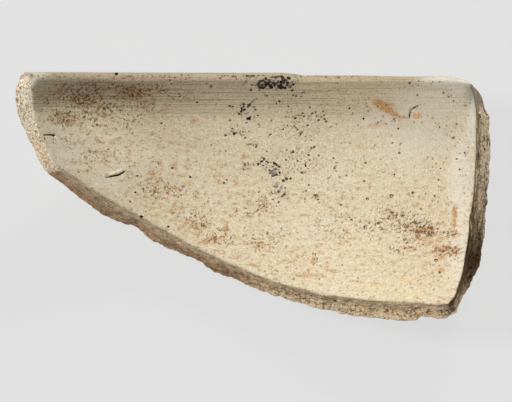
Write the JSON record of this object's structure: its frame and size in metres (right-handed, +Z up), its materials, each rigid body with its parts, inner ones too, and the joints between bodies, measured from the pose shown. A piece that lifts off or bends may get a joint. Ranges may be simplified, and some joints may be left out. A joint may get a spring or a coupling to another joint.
{
  "type": "pottery sherd",
  "caption": "Curved rim fragment of a wheel-thrown buff bowl with a cream slip inside, broken on three sides, lying hollow side up.",
  "frame": {"origin": "under the middle of the fragment, on the surface that it lies on", "axes": "+Z up, with the convex back down and the hollow up; +Y towards the rim; +X along the rim, to the right when looking down into the hollow with the rim at the far side"},
  "size_m": [0.1656, 0.0896, 0.0543],
  "materials": {
    "fired_clay": "rough, sandy, unglazed fired clay",
    "cream_slip": "matt cream slip, wheel-marked and mottled brown",
    "black_crust": "matt, crumbly black deposit",
    "ironstone": "matt orange-brown pellet",
    "grit_brown": "rough grain",
    "grit_pale": "rough grain",
    "grit_dark": "rough grain"
  },
  "bodies": {
    "root": {"clay_wall": "fired_clay", "inner_slip": "cream_slip", "ironstone_pellet": "ironstone", "rim_crust": "black_crust", "crust_fleck_01": "black_crust", "crust_fleck_02": "black_crust", "crust_fleck_03": "black_crust", "crust_fleck_04": "black_crust", "grit_grain_01": "grit_brown", "grit_grain_02": "grit_pale", "grit_grain_03": "grit_dark", "grit_grain_04": "grit_brown", "grit_grain_05": "grit_pale", "grit_grain_06": "grit_dark", "grit_grain_07": "grit_brown", "grit_grain_08": "grit_pale", "grit_grain_09": "grit_dark", "grit_grain_10": "grit_brown", "grit_grain_11": "grit_pale", "grit_grain_12": "grit_dark", "grit_grain_13": "grit_brown", "grit_grain_14": "grit_pale", "grit_grain_15": "grit_dark", "grit_grain_16": "grit_brown", "grit_grain_17": "grit_pale", "grit_grain_18": "grit_dark", "grit_grain_19": "grit_brown", "grit_grain_20": "grit_pale"}
  },
  "joints": []
}
